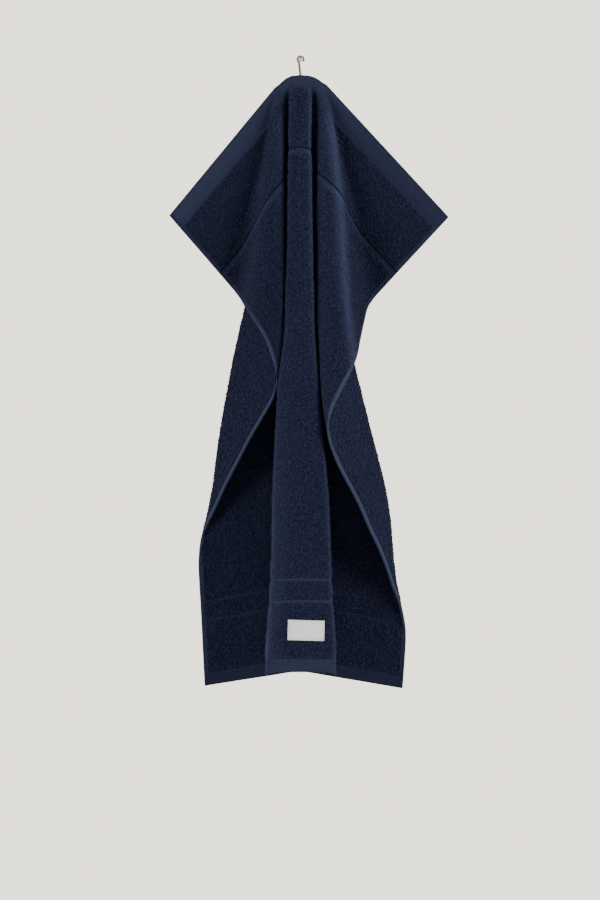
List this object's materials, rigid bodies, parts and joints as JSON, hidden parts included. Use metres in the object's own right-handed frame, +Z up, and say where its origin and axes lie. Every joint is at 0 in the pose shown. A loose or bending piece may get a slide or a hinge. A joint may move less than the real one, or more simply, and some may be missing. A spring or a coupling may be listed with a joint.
{
  "type": "towel on a wall hook",
  "caption": "Navy terry hand towel hung by the middle of one short edge from a small wire wall hook, in deep folds, with a plain sewn label.",
  "frame": {"origin": "middle of the back face of the pin that holds the hook, on the wall plane", "axes": "+X to the right as seen from the front, +Y into the wall, +Z up; the front of the towel faces -Y"},
  "size_m": [0.3321, 0.0761, 0.7562],
  "materials": {
    "terry": "navy cotton terry, matt",
    "label_tape": "off-white woven tape, matt",
    "cord": "navy twisted cotton, matt",
    "wire": "drawn wire, satin",
    "pin": "plain steel, satin"
  },
  "bodies": {
    "root": {"towel": "terry", "label": "label_tape", "cord": "cord", "hook": "wire", "pin": "pin"}
  },
  "joints": []
}
